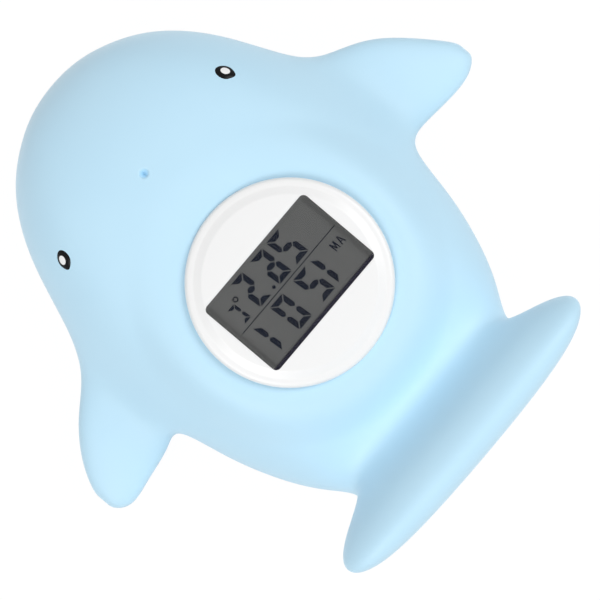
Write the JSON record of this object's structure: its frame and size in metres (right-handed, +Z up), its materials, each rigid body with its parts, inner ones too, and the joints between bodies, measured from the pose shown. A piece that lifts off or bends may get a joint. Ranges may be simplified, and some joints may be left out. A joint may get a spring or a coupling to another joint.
{
  "type": "baby bath thermometer",
  "caption": "Floating bath thermometer: a soft pale blue whale around a round white module with a liquid crystal display of water temperature and clock",
  "frame": {"origin": "centre of the footprint on the surface that the flat belly rests on", "axes": "+Z up through the module towards its display, -Y towards the whale's nose, +Y towards its tail, +X across it towards the whale's own left flipper"},
  "size_m": [0.1284, 0.1248, 0.0509],
  "materials": {
    "blue_vinyl": "soft satin skin",
    "eye_black": "gloss",
    "white_case": "satin moulded",
    "white_rear_case": "satin moulded",
    "white_door": "satin moulded",
    "clear_lens": "clear polished",
    "lcd_glass": "grey under polariser",
    "zebra_rubber": "layered rubber",
    "reflector_film": "white",
    "green_laminate": "solder resist",
    "black_epoxy": "satin",
    "tin_can": "tinned",
    "tan_ceramic": "fired",
    "screw_steel": "zinc plated",
    "connector_black": "moulded",
    "ribbon_film": "flexible film",
    "switch_black": "moulded",
    "button_grey": "matt moulded rubber",
    "probe_steel": "drawn and polished",
    "bead_black": "dipped epoxy",
    "cell_steel": "nickel plated",
    "contact_nickel": "sprung strip",
    "seal_rubber": "matt"
  },
  "bodies": {
    "whale": {"battery_door": "white_door", "board_screw_1": "screw_steel", "board_screw_2": "screw_steel", "board_screw_3": "screw_steel", "board_screw_4": "screw_steel", "capacitor_1": "tan_ceramic", "capacitor_2": "tan_ceramic", "case_seal": "seal_rubber", "clock_crystal": "tin_can", "coin_cell": "cell_steel", "controller_chip": "black_epoxy", "display_lens": "clear_lens", "door_screw_1": "screw_steel", "door_screw_2": "screw_steel", "door_seal": "seal_rubber", "eye_left": "eye_black", "eye_right": "eye_black", "front_case": "white_case", "lcd_panel": "lcd_glass", "lower_board": "green_laminate", "lower_connector": "connector_black", "lower_screw_1": "screw_steel", "lower_screw_2": "screw_steel", "main_board": "green_laminate", "mode_switch": "switch_black", "negative_contact": "contact_nickel", "positive_contact": "contact_nickel", "probe_cap": "probe_steel", "rear_case": "white_rear_case", "reflector_plate": "reflector_film", "resistor": "black_epoxy", "ribbon_cable": "ribbon_film", "set_switch": "switch_black", "soft_body": "blue_vinyl", "thermistor": "bead_black", "upper_connector": "connector_black", "zebra_strip_front": "zebra_rubber", "zebra_strip_rear": "zebra_rubber"},
    "mode_button": {"mode_button": "button_grey"},
    "set_button": {"set_button": "button_grey"}
  },
  "joints": [
    {"name": "mode_button_press", "type": "slide", "parent": "whale", "child": "mode_button", "axis": [0, 0, 1], "range_m": [0, 0.0005], "stiffness_N_per_m": 400},
    {"name": "set_button_press", "type": "slide", "parent": "whale", "child": "set_button", "axis": [0, 0, 1], "range_m": [0, 0.0005], "stiffness_N_per_m": 400}
  ]
}
